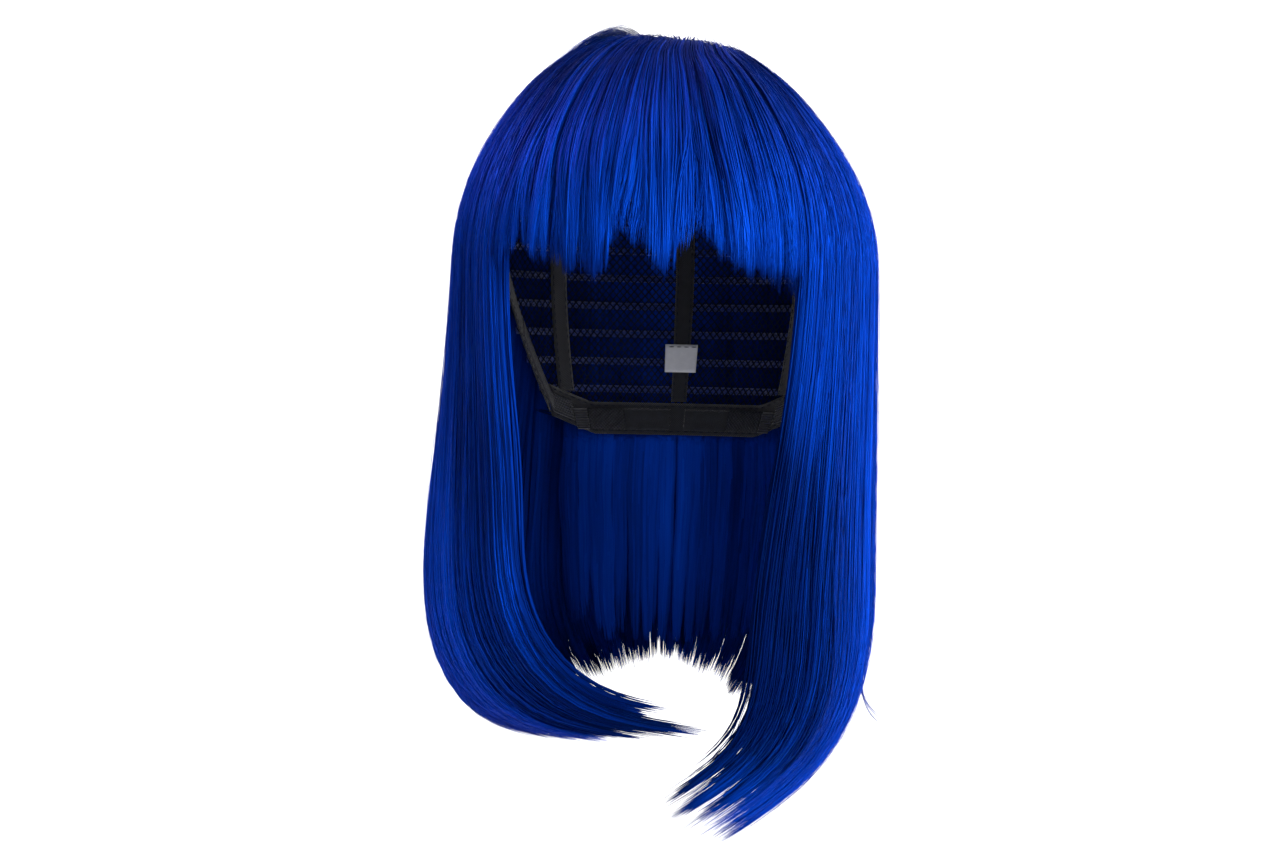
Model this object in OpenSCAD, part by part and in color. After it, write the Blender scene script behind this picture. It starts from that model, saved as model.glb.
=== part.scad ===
// Costume wig: a straight, collarbone-length bob with a full fringe, on a wefted stretch cap.
// The wearer faces -Y and their left is +X. The origin is the middle of the head at hat-line height.
// A place on the cap is an azimuth (0 at the forehead, positive to the wearer's left, 180 at the nape),
// a polar angle (0 at the crown, 90 at the hat line, more below it) and a layer (mm outside the net's
// inner face). Below the hat line the polar angle goes on at drop_per_degree.

/* [Head] */
// Half the width of the cap at the hat line
head_half_width = 75; // [71:1:79]
// Half the length of the cap, forehead to back
head_half_length = 96; // [92:1:100]
// Height of the cap's crown above the hat line
crown_height = 83; // [79:1:88]
// Depth of the nape edge below the hat line
nape_depth = 72; // [68:1:75]

/* [Cap] */
// Thickness of the stretch net
net_thickness = 0.7; // [0.5:0.1:0.8]
// Width of the front and side bands, in degrees of polar angle
band_degrees = 8; // [6:1:10]
// Width of the ribs sewn up the inside of the net
rib_width = 8; // [5:1:10]
// Azimuth half-angle of the ear tabs at their sewn edge
ear_tab_half_angle = 11; // [8:1:13]
// Length of the ear tabs, in degrees of polar angle
ear_tab_degrees = 17; // [12:1:20]

/* [Wefts] */
// Number of weft rows between the crown patch and the nape
weft_rows = 15; // [8:1:15]
// Height of a weft's sewn tape, in degrees of polar angle
weft_tape_degrees = 2; // [1.5:0.5:3]

/* [Hair] */
// Thickness of the hair over the wefts
hair_thickness = 6; // [4:0.5:8]
// Half the width of the fringe
fringe_half_width = 60; // [54:1:62]
// Angle above level, seen from the head's middle, of the line that the fringe lifts along
fringe_rise = 29; // [27:1:31]
// Thickness of the hanging hair
curtain_thickness = 9; // [6:0.5:10]

/* [Nape adjusters] */
// Angle of one hook-and-loop tab round the nape
tab_angle = 13.5; // [10:0.5:14]
// Height of the straps and tabs
strap_height = 9; // [7:0.5:10]

/* [Hidden] */
drop_per_degree = 1.5;
patch_polar = 17;                  // edge of the crown patch
crown_net_polar = 35;              // edge of the net's crown disc
nape_polar = 90 + nape_depth / drop_per_degree;
seam_gap = 0.3;                    // clearance between hair sections that move apart

// Layers, from the head outwards
pad_layer = [-2.8, -2.15];
band_layer = [-2.0, -1.1];
rib_layer = [-0.9, -0.25];
net_layer = [0, net_thickness];
weft_layer = [1.0, 2.1];
hair_layer = [2.8, 2.8 + hair_thickness];

// Edge of the cap: [azimuth, polar angle], the same on both sides
cap_edge = [
    [0, 55], [30, 58], [48, 70], [58, 90], [98, 90], [112, 100], [128, nape_polar - 5],
    [145, nape_polar], [180, nape_polar]
];

// How the hair hangs below the hat line, against azimuth: the wearer's right is negative.
// It drops straight, turns inwards on an arc, and ends in a straight tail.
spread_of = [[-180, 5], [-125, 10], [-90, 12], [-65, 3], [-40, -12], [40, -30], [65, 0], [90, 5],
    [125, 6], [180, 5]];
drop_of = [[-180, 126], [-125, 131], [-90, 136], [-65, 131], [-40, 114], [40, 172], [65, 160],
    [90, 147], [125, 136], [180, 126]];
radius_of = [[-180, 46], [-125, 48], [-90, 52], [-65, 53], [-40, 62], [40, 24], [65, 52], [90, 76],
    [125, 60], [180, 46]];
turn_of = [[-180, 52], [-125, 62], [-90, 86], [-65, 87], [-40, 86], [40, 60], [65, 60], [90, 64],
    [125, 58], [180, 52]];
tail_of = [[-180, 12], [-125, 18], [-90, 27], [-65, 35], [-40, 36], [40, 26], [65, 37], [90, 34],
    [125, 16], [180, 12]];
heading_of = [[-180, 0], [-150, 30], [-125, 46], [-90, 50], [-65, 60], [-40, 72], [40, -72], [65, -62],
    [90, -50], [125, -46], [150, -30], [180, 0]];
back_start = 125;                  // azimuth where the side hair ends and the back hair begins
curtain_steps = [0, 0.25, 0.5, 0.75, 1, 1.25, 1.5, 1.75, 2, 2.5, 3];

// The nape's inner face is a cone about this vertical line, so the adjuster tabs slide round it
nape_centre = 3.6;
nape_radius = 67.8;                // outer face of the tabs, at the middle of their height
nape_slope = 0.46;                 // the cone's growth in radius for each mm upwards
tab_start = 19;                    // angle from straight back to a tab's free end at its loosest
tab_thickness = 1.2;
end_angle = 5;                     // angle of the strap's sewn end, behind the tab

function weft_name(i) = str("weft_row_", i < 10 ? "0" : "", i);

// ---- The head's surface ----

function taper(t) = 0.08 + 0.18 * pow(max(0, -cos(t)), 2);
function below(v) = (v - 90) * drop_per_degree;
function girth(t, v) = v <= 90 ? sin(v) : 1 - taper(t) * pow(below(v) / nape_depth, 1.6);
function height(v, layer) = v <= 90 ? (crown_height + layer) * cos(v) : -below(v);
function on_head(t, v, layer) = [
    (head_half_width + layer) * sin(t) * girth(t, v),
    -(head_half_length + layer) * cos(t) * girth(t, v),
    height(v, layer)
];
function edge_polar(t) = lookup(abs(t), cap_edge);

// The fringe lifts along a plane through the head's middle: the polar angle where a layer meets it
function rise_slope(layer) = tan(fringe_rise) * (head_half_length + layer) / (crown_height + layer);
function fringe_top(x, layer) = acos(sin(atan(rise_slope(layer))) * sqrt(1 - pow(x / (head_half_width + layer), 2)));
function fringe_azimuth(v, layer) = asin((fringe_half_width + seam_gap) / ((head_half_width + layer) * sin(v)));
function corner_polar(layer) = fringe_top(fringe_half_width + seam_gap, layer);
function crown_polar(t, layer) =
    min(corner_polar(layer), cos(t) <= 0 ? 90 : atan(1 / (rise_slope(layer) * cos(t))));

// A place on the front of the head, by its distance from the middle instead of its azimuth
function on_front(x, v, layer) = [
    x,
    -(head_half_length + layer) * sqrt(max(0, pow(girth(0, v), 2) - pow(x / (head_half_width + layer), 2))),
    height(v, layer)
];

// ---- Hanging hair ----

function outwards(t) = let (n = [sin(t) / head_half_width, -cos(t) / head_half_length]) n / norm(n);
function smooth(u) = u * u * (3 - 2 * u);
function clip(u) = max(0, min(1, u));

// A point on the hanging hair: u runs 0 to 1 down the drop, 1 to 2 round the turn, 2 to 3 along the tail
function hang(t, u, layer) =
    let (
        fall = clip(u), turned = lookup(t, turn_of) * clip(u - 1), tail = lookup(t, tail_of) * clip(u - 2),
        radius = lookup(t, radius_of) - (hair_layer[1] - layer),
        reach = radius * (1 - cos(turned)) + tail * sin(turned),
        sink = lookup(t, drop_of) * fall + radius * sin(turned) + tail * cos(turned),
        heading = lookup(t, heading_of),
        start = on_head(t, 90, layer),
        out = outwards(t) * lookup(t, spread_of) * smooth(fall)
    )
    [start.x + out.x + reach * sin(heading), start.y + out.y - reach * cos(heading), -seam_gap - sink];

// ---- Solids from grids of points: rows run down, columns run towards the wearer's left ----

function at(row, column, columns) = row * columns + column;

function grid_faces(rows, columns, first, wrap, flip) = [
    for (j = [0 : rows - 2], i = [0 : columns - (wrap ? 1 : 2)])
        let (
            k = (i + 1) % columns,
            a = first + at(j, i, columns), b = first + at(j, k, columns),
            c = first + at(j + 1, k, columns), d = first + at(j + 1, i, columns)
        )
        each flip ? [[a, c, b], [a, d, c]] : [[a, b, c], [a, c, d]]
];

function wall_faces(outer, inner) = [
    for (i = [0 : len(outer) - 2]) each [[outer[i + 1], outer[i], inner[i]], [outer[i + 1], inner[i], inner[i + 1]]]
];

function reversed(list) = [for (i = [len(list) - 1 : -1 : 0]) list[i]];

// A closed sheet between two grids; wrap joins the last column to the first
module sheet(outer, inner, wrap = false) {
    rows = len(outer);
    columns = len(outer[0]);
    count = rows * columns;
    ring = [for (i = [0 : columns - (wrap ? 0 : 1)]) i % columns];
    top = ring;
    bottom = [for (i = ring) at(rows - 1, i, columns)];
    left = [for (j = [0 : rows - 1]) at(j, 0, columns)];
    right = [for (j = [0 : rows - 1]) at(j, columns - 1, columns)];
    behind = function (list) [for (i = list) i + count];
    polyhedron(
        points = concat([for (row = outer) each row], [for (row = inner) each row]),
        faces = concat(
            grid_faces(rows, columns, 0, wrap, false),
            grid_faces(rows, columns, count, wrap, true),
            wall_faces(top, behind(top)),
            wall_faces(reversed(bottom), behind(reversed(bottom))),
            wrap ? [] : wall_faces(reversed(left), behind(reversed(left))),
            wrap ? [] : wall_faces(right, behind(right))
        )
    );
}

// A closed bowl between two grids that wrap round and meet at a pole on top
module bowl(outer, inner) {
    rows = len(outer);
    columns = len(outer[0]);
    count = rows * columns;
    outer_pole = 2 * count;
    bottom = [for (i = [0 : columns]) at(rows - 1, i % columns, columns)];
    polyhedron(
        points = concat(
            [for (row = outer) each row], [for (row = inner) each row],
            [[0, 0, max([for (p = outer[0]) p.z]) + 0.1], [0, 0, max([for (p = inner[0]) p.z]) + 0.1]]
        ),
        faces = concat(
            grid_faces(rows, columns, 0, true, false),
            grid_faces(rows, columns, count, true, true),
            wall_faces(reversed(bottom), [for (i = reversed(bottom)) i + count]),
            [for (i = [0 : columns - 1]) [outer_pole, (i + 1) % columns, i]],
            [for (i = [0 : columns - 1]) [outer_pole + 1, count + i, count + (i + 1) % columns]]
        )
    );
}

function span(from, to, count) = [for (i = [0 : count]) from + (to - from) * i / count];

// A strip of the cap: azimuth columns, and a polar angle that may change with the azimuth
module strip(azimuths, tops, bottoms, rows, layer, wrap = false) {
    function points(l) = [
        for (j = [0 : rows]) [
            for (i = [0 : len(azimuths) - 1])
                on_head(azimuths[i], tops[i] + (bottoms[i] - tops[i]) * j / rows, l)
        ]
    ];
    sheet(points(layer[1]), points(layer[0]), wrap);
}

module mirrored(side) {
    if (side < 0) mirror([1, 0, 0]) children();
    else children();
}

// ---- Cap ----

// The net is a crown disc and six panels, whose upright seams lie behind the ribs
module net_crown() {
    azimuths = span(-180, 174, 59);
    rows = 7;
    function points(l) = [
        for (j = [1 : rows]) [for (t = azimuths) on_head(t, (crown_net_polar - 0.1) * j / rows, l)]
    ];
    color("#101217") bowl(points(net_layer[1]), points(net_layer[0]));
}

module net_panel(side, from, to) {
    azimuths = span(from + 0.1, to - 0.1, round((to - from) / 6));
    tops = [for (t = azimuths) crown_net_polar + 0.1];
    color("#101217") mirrored(side) strip(azimuths, tops, [for (t = azimuths) edge_polar(t)], 14, net_layer);
}

module crown_patch() {
    azimuths = span(-180, 165, 23);
    function points(l) = [for (j = [1 : 3]) [for (t = azimuths) on_head(t, patch_polar * j / 3, l)]];
    color("#c9b7ae") bowl(points(weft_layer[1] - 0.3), points(weft_layer[0]));
}

// A band along the cap's edge, on the inside of the ribs
module edge_band(from, to, steps, width) {
    azimuths = span(from, to, steps);
    edges = [for (t = azimuths) edge_polar(t) - 0.2];
    color("#14161c") strip(azimuths, [for (v = edges) v - width], edges, 2, band_layer);
}

module front_band() { edge_band(-57.5, 57.5, 22, band_degrees); }
module side_band(side) { mirrored(side) edge_band(58, 127.5, 14, band_degrees); }
module nape_band() { edge_band(128, 232, 20, band_degrees + 1); }

// A rib runs from the edge of the crown patch to the band, the same width all the way
module rib(azimuth) {
    rows = 12;
    from = patch_polar + 1;
    to = edge_polar(azimuth) - band_degrees - 1.6;
    function half_angle(v) = asin(min(0.6, rib_width / 2 / (sin(min(v, 90)) * head_half_width)));
    function points(l) = [
        for (v = span(from, to, rows)) [
            for (s = [-1, 0, 1]) on_head(azimuth + s * half_angle(v), v, l)
        ]
    ];
    color("#1a1d25") sheet(points(rib_layer[1]), points(rib_layer[0]));
}

module care_label() {
    color("#e9e9ee") strip(span(174, 186, 4), [for (i = [0 : 4]) 112], [for (i = [0 : 4]) 120], 2, pad_layer);
}

// A weft row covers the azimuths where the cap reaches below it
function weft_polar(i) = patch_polar + 4 + (nape_polar - 6 - patch_polar - 4) * (i - 1) / (weft_rows - 1);
function weft_start(v) = v + 4 < edge_polar(0) ? 0
    : min([for (t = [0 : 1 : 179]) if (edge_polar(t) > v + 4 && (v < 86 || t > 90)) t]);

module weft_row(i) {
    v = weft_polar(i);
    start = weft_start(v);
    color("#0c2c9c") {
        if (start == 0) {
            azimuths = span(-180, 172, 44);
            tops = [for (t = azimuths) v];
            strip(azimuths, tops, [for (k = tops) k + weft_tape_degrees], 1, weft_layer, true);
        } else {
            azimuths = span(start, 360 - start, max(12, round((360 - 2 * start) / 7)));
            tops = [for (t = azimuths) v];
            strip(azimuths, tops, [for (k = tops) k + weft_tape_degrees], 1, weft_layer);
        }
    }
}

// ---- Ear tabs ----

ear_azimuth = 71;

module ear_tab(side) {
    rows = 6;
    function half_angle(u) = ear_tab_half_angle * sqrt(max(0.1, 1 - pow(u, 3)));
    function points(l) = [
        for (j = [0 : rows]) [
            for (s = span(-1, 1, 6))
                on_head(ear_azimuth + s * half_angle(j / rows), 90.8 + ear_tab_degrees * j / rows, l)
        ]
    ];
    color("#14161c") mirrored(side) sheet(points(band_layer[1]), points(band_layer[0]));
}

module ear_tab_stay(side) {
    azimuths = span(ear_azimuth - 1.2, ear_azimuth + 1.2, 1);
    color("#b9bcc4") mirrored(side)
        strip(azimuths, [92, 92], [90 + ear_tab_degrees - 2, 90 + ear_tab_degrees - 2], 4, pad_layer);
}

// ---- Nape adjusters ----

strap_polar = nape_polar - band_degrees / 2 - 0.5;
strap_level = height(strap_polar, 0);

module loop_pad(side) {
    azimuths = span(139, 177, 8);
    half = strap_height / 2 / drop_per_degree;
    color("#0e1016") mirrored(side)
        strip(azimuths, [for (t = azimuths) strap_polar - half], [for (t = azimuths) strap_polar + half],
              1, pad_layer);
}

// A piece of the nape's cone, by its angles from straight back
module nape_arc(from, to) {
    rise = strap_height / 2;
    lean = nape_slope * rise;
    translate([0, nape_centre, strap_level])
        rotate([0, 0, 90 - to])
            rotate_extrude(angle = to - from, $fn = 180)
                translate([nape_radius, 0])
                    polygon([[-lean - tab_thickness, -rise], [-lean, -rise], [lean, rise], [lean - tab_thickness, rise]]);
}

module adjuster_tab(side) {
    color("#20242e") mirrored(side) nape_arc(tab_start, tab_start + tab_angle);
}

module adjuster_end(side) {
    from = tab_start + tab_angle + 0.4;
    color("#2b303c") mirrored(side) nape_arc(from, from + end_angle);
}

// The elastic strap: sewn on the side band near the ear, it ends level with the sewn end of the tab
module adjuster_strap(side) {
    steps = 8;
    half = (strap_height - 1) / 2 / drop_per_degree;
    function middle(t) = min(strap_polar, edge_polar(t) - band_degrees / 2);
    function points(sewn, loose) = [
        for (s = [-1, 1]) [
            for (i = [0 : steps])
                let (t = 118 + 18.2 * i / steps) on_head(t, middle(t) + s * half, sewn + (loose - sewn) * i / steps)
        ]
    ];
    color("#1c1f28") mirrored(side) sheet(points(-2.2, -3.3), points(-3.0, -4.2));
}

// ---- Hair ----

// Colour of all the hair
module dyed() { color("#0a3bb0") children(); }

module crown_hair() {
    azimuths = span(-180, 172, 44);
    rows = 9;
    function points(l) = [
        for (j = [1 : rows]) [for (t = azimuths) on_head(t, (crown_polar(t, l) - seam_gap) * j / rows, l)]
    ];
    dyed() bowl(points(hair_layer[1]), points(hair_layer[0]));
}

module upper_side_hair(side) {
    function points(l) = [
        for (v = span(corner_polar(l), 89.8, 4))
            [for (t = span(fringe_azimuth(v, l), back_start - 0.3, 10)) on_head(t, v, l)]
    ];
    dyed() mirrored(side) sheet(points(hair_layer[1]), points(hair_layer[0]));
}

module upper_back_hair() {
    function points(l) = [
        for (v = span(corner_polar(l), 89.8, 4)) [for (t = span(back_start, 360 - back_start, 16)) on_head(t, v, l)]
    ];
    dyed() sheet(points(hair_layer[1]), points(hair_layer[0]));
}

module fringe_hair() {
    columns = span(-fringe_half_width, fringe_half_width, 14);
    // The fringe is cut level with the brow, a little longer towards the wearer's left
    function cut(x) = 95 + 3.5 * x / fringe_half_width;
    function points(l) = [
        for (u = span(0, 1, 7)) [
            for (x = columns)
                let (top = fringe_top(x, l) + seam_gap) on_front(x, top + (cut(x) - top) * u, l)
        ]
    ];
    dyed() sheet(points(hair_layer[1]), points(hair_layer[0]));
}

// The inner face of the hanging hair: thinner at the top and along the tail
function inner_layer(u) =
    hair_layer[1] - curtain_thickness * (u <= 1 ? 0.65 + 0.35 * u : 1 - 0.25 * max(0, u - 2));
function signed(t) = t > 180 ? t - 360 : t;

// One hanging curtain, by the azimuths of its outer and inner faces
module curtain(outer_azimuths, inner_azimuths) {
    dyed() sheet(
        [for (u = curtain_steps) [for (t = outer_azimuths) hang(signed(t), u, hair_layer[1])]],
        [for (u = curtain_steps) [for (t = inner_azimuths) hang(signed(t), u, inner_layer(u))]]
    );
}

// The front edges of the side hair stand just outside the fringe
side_edge = [for (l = [hair_layer[1], inner_layer(0)]) fringe_azimuth(90, l) + 1];
side_back = back_start - 0.3;

module side_hair_left() { curtain(span(side_edge[0], side_back, 12), span(side_edge[1], side_back, 12)); }
module side_hair_right() { curtain(span(-side_back, -side_edge[0], 12), span(-side_back, -side_edge[1], 12)); }

module back_hair() {
    azimuths = span(back_start + 0.3, 359.7 - back_start, 16);
    curtain(azimuths, azimuths);
}

// The shorter hair under the back, rooted on the lowest wefts
nape_fall = 86;

module nape_hair() {
    azimuths = span(136, 224, 12);
    function points(l) = [
        for (u = span(0, 1, 8)) [
            for (t = azimuths)
                on_head(t, nape_polar + 0.6, l) + [0, 0, -nape_fall * u]
                    - [sin(t) * 10, -cos(t) * 14, 0] * u * u
        ]
    ];
    dyed() sheet(points(hair_layer[1] - 0.5), points(hair_layer[0] - 1));
}

// ---- Assembly ----

net_crown();
net_panel(1, 0, 88);  // net_front_left
net_panel(-1, 0, 88);  // net_front_right
net_panel(1, 88, 136);  // net_side_left
net_panel(-1, 88, 136);  // net_side_right
net_panel(1, 136, 180);  // net_back_left
net_panel(-1, 136, 180);  // net_back_right
crown_patch();
front_band();
side_band(1);  // side_band_left
side_band(-1);  // side_band_right
nape_band();
rib(0);  // rib_front
rib(180);  // rib_back
rib(88);  // rib_side_left
rib(-88);  // rib_side_right
rib(136);  // rib_rear_left
rib(-136);  // rib_rear_right
care_label();
ear_tab(1);  // ear_tab_left
ear_tab(-1);  // ear_tab_right
ear_tab_stay(1);  // ear_tab_stay_left
ear_tab_stay(-1);  // ear_tab_stay_right
loop_pad(1);  // loop_pad_left
loop_pad(-1);  // loop_pad_right
adjuster_strap(1);  // adjuster_strap_left
adjuster_strap(-1);  // adjuster_strap_right
adjuster_end(1);  // adjuster_end_left
adjuster_end(-1);  // adjuster_end_right
adjuster_tab(1);  // adjuster_tab_left
adjuster_tab(-1);  // adjuster_tab_right
crown_hair();
upper_side_hair(1);  // upper_side_hair_left
upper_side_hair(-1);  // upper_side_hair_right
upper_back_hair();
fringe_hair();
side_hair_left();
side_hair_right();
back_hair();
nape_hair();
for (i = [1 : weft_rows]) weft_row(i);
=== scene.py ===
import math

import bpy
import numpy as np
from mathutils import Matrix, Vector


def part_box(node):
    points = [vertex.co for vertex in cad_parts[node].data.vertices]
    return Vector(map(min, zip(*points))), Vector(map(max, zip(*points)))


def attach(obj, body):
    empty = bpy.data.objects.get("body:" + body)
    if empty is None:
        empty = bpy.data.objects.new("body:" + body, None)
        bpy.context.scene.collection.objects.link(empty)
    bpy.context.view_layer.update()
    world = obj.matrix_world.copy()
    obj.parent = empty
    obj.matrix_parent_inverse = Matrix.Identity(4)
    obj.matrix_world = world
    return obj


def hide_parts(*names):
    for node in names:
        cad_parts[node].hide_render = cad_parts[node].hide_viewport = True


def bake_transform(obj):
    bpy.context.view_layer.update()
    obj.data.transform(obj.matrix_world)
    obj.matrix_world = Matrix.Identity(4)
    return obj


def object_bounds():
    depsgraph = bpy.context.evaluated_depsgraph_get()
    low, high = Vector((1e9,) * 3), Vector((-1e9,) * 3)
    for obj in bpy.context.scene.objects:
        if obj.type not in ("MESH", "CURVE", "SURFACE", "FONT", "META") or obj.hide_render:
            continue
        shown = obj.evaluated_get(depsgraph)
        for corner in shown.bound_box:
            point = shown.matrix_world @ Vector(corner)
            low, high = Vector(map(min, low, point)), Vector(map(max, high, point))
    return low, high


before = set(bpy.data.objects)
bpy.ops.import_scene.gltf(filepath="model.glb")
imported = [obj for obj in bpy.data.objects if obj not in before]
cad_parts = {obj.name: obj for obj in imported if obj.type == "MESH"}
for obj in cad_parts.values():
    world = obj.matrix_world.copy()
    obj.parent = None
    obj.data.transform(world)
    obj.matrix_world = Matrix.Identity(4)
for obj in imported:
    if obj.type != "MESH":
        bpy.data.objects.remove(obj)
CAD_LOW, CAD_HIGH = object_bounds()

# ---- Sizes: the head and the hair as the CAD has them, in mm and degrees ----

MM = 0.001  # in metres
NET = 0.7  # thickness of the stretch net
HALF_WIDTH = round(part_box("net_side_left")[1][0] / MM - NET)
HALF_LENGTH = round(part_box("net_back_left")[1][1] / MM - NET)
CROWN = round(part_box("net_crown")[1][2] / MM - NET)
NAPE_DEPTH = round(-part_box("net_back_left")[0][2] / MM)
DROP_PER_DEGREE = 1.5  # below the hat line, polar angles past 90 stand for depths
HAIR_LAYER = (2.8, 8.8)  # inner and outer face of the hair, off the net's inner face
PATCH_POLAR = 17  # edge of the crown patch
NAPE_POLAR = 90 + NAPE_DEPTH / DROP_PER_DEGREE
# Edge of the cap: azimuth and polar angle, the same on both sides
CAP_EDGE = [(0, 55), (30, 58), (48, 70), (58, 90), (98, 90), (112, 100), (128, NAPE_POLAR - 5),
            (145, NAPE_POLAR), (180, NAPE_POLAR)]
FRINGE_ENDS = (-43, 47.5)  # azimuths of the fringe's ends at the hat line
BACK_START = 125  # azimuth where the side hair ends and the back hair begins

# How the hair hangs below the hat line, against azimuth; negative is the wearer's right
SPREAD = [(-180, 5), (-125, 10), (-90, 12), (-65, 3), (-40, -12), (40, -30), (65, 0), (90, 5), (125, 6),
          (180, 5)]
DROP = [(-180, 126), (-125, 131), (-90, 136), (-65, 131), (-40, 114), (40, 172), (65, 160), (90, 147),
        (125, 136), (180, 126)]
RADIUS = [(-180, 46), (-125, 48), (-90, 52), (-65, 53), (-40, 62), (40, 24), (65, 52), (90, 76), (125, 60),
          (180, 46)]
TURN = [(-180, 52), (-125, 62), (-90, 86), (-65, 87), (-40, 86), (40, 60), (65, 60), (90, 64), (125, 58),
        (180, 52)]
TAIL = [(-180, 12), (-125, 18), (-90, 27), (-65, 35), (-40, 36), (40, 26), (65, 37), (90, 34), (125, 16),
        (180, 12)]
HEADING = [(-180, 0), (-150, 30), (-125, 46), (-90, 50), (-65, 60), (-40, 72), (40, -72), (65, -62),
           (90, -50), (125, -46), (150, -30), (180, 0)]

def curve(rows, x):
    """The value at x of a table of (x, value) rows."""
    return np.interp(x, [row[0] for row in rows], [row[1] for row in rows])

def around(rows, t):
    """A table's value at azimuth t; azimuths past 180 are the wearer's right."""
    return curve(rows, np.where(t > 180, t - 360, np.where(t < -180, t + 360, t)))

def smooth(u):
    u = np.clip(u, 0, 1)
    return u * u * (3 - 2 * u)

def ease(x, start, end):
    """0 up to start, 1 from end on, and smooth between them."""
    return smooth((x - start) / (end - start))

# ---- The head's surface and the hair's fall, as in the CAD ----

def girth(t, v):
    """The head's girth at polar angle v as a share of its girth at the hat line; it narrows to the nape."""
    back = np.maximum(0, -np.cos(np.radians(t)))
    taper = 0.08 + 0.18 * back ** 2
    below = np.maximum(0, v - 90) * DROP_PER_DEGREE
    return np.where(v <= 90, np.sin(np.radians(np.minimum(v, 90))), 1 - taper * (below / NAPE_DEPTH) ** 1.6)

def on_head(t, v, layer):
    """Points on the head at azimuth t and polar angle v, layer mm off the net's inner face."""
    t, v, layer = np.broadcast_arrays(*(np.asarray(a, float) for a in (t, v, layer)))
    g = girth(t, v)
    z = np.where(v <= 90, (CROWN + layer) * np.cos(np.radians(v)), -(v - 90) * DROP_PER_DEGREE)
    return np.stack([(HALF_WIDTH + layer) * np.sin(np.radians(t)) * g,
                     -(HALF_LENGTH + layer) * np.cos(np.radians(t)) * g, z], axis=-1)

def hang(t, u, layer):
    """Points on the hanging hair: u is 0 to 1 down the drop, 1 to 2 round the turn, 2 to 3 along the tail."""
    t, u, layer = np.broadcast_arrays(*(np.asarray(a, float) for a in (t, u, layer)))
    fall, turning, tail = np.clip(u, 0, 1), np.clip(u - 1, 0, 1), np.clip(u - 2, 0, 1)
    turned = np.radians(around(TURN, t)) * turning
    radius = around(RADIUS, t) - (HAIR_LAYER[1] - layer)
    tail = tail * around(TAIL, t)
    reach = radius * (1 - np.cos(turned)) + tail * np.sin(turned)
    sink = around(DROP, t) * fall + radius * np.sin(turned) + tail * np.cos(turned)
    heading = np.radians(around(HEADING, t))
    start = on_head(t, np.full(t.shape, 90.0), layer)
    out = np.stack([np.sin(np.radians(t)) / HALF_WIDTH, -np.cos(np.radians(t)) / HALF_LENGTH], axis=-1)
    out = out / np.linalg.norm(out, axis=-1, keepdims=True) * (around(SPREAD, t) * smooth(fall))[..., None]
    return np.stack([start[..., 0] + out[..., 0] + reach * np.sin(heading),
                     start[..., 1] + out[..., 1] - reach * np.cos(heading), -sink], axis=-1)

# How much fuller than an even layer the hair is, in mm: over the dome, and where it hangs past the ears
DOME_FULL = [(0, 3.2), (10, 2.6), (30, -1.6), (50, -2.4), (72, -1.0), (90, 0)]
SIDE_FULL = [(-180, 0), (-110, 0.5), (-75, 0.5), (-50, 0), (40, 0), (62, 2.2), (90, 3.4), (120, 1.5),
             (180, 0)]
# The whorl's hair lies thicker towards the wearer's right and thinner towards the left
RIGHT_TILT, LEFT_TILT = 2.2, -2.5

def fullness(t, way):
    """Extra thickness at azimuth t; way is 0 at the whorl, 1 at the hat line and 2 at the tips."""
    sideways = np.sin(np.radians(t))
    tilt = np.where(sideways < 0, RIGHT_TILT * (1 - ease(way, 0.33, 0.83)),
                    LEFT_TILT * (1 - ease(way, 0.13, 0.25)))
    beside = around(SIDE_FULL, t) * ease(way, 0.55, 1) * (1 - ease(way, 1.05, 1.5))
    return curve(DOME_FULL, 90 * way) + ease(way, 0, 0.12) * np.abs(sideways) * tilt + beside

# ---- Guides: the flow of a section of hair over azimuth, layer and way along the hair ----

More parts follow.
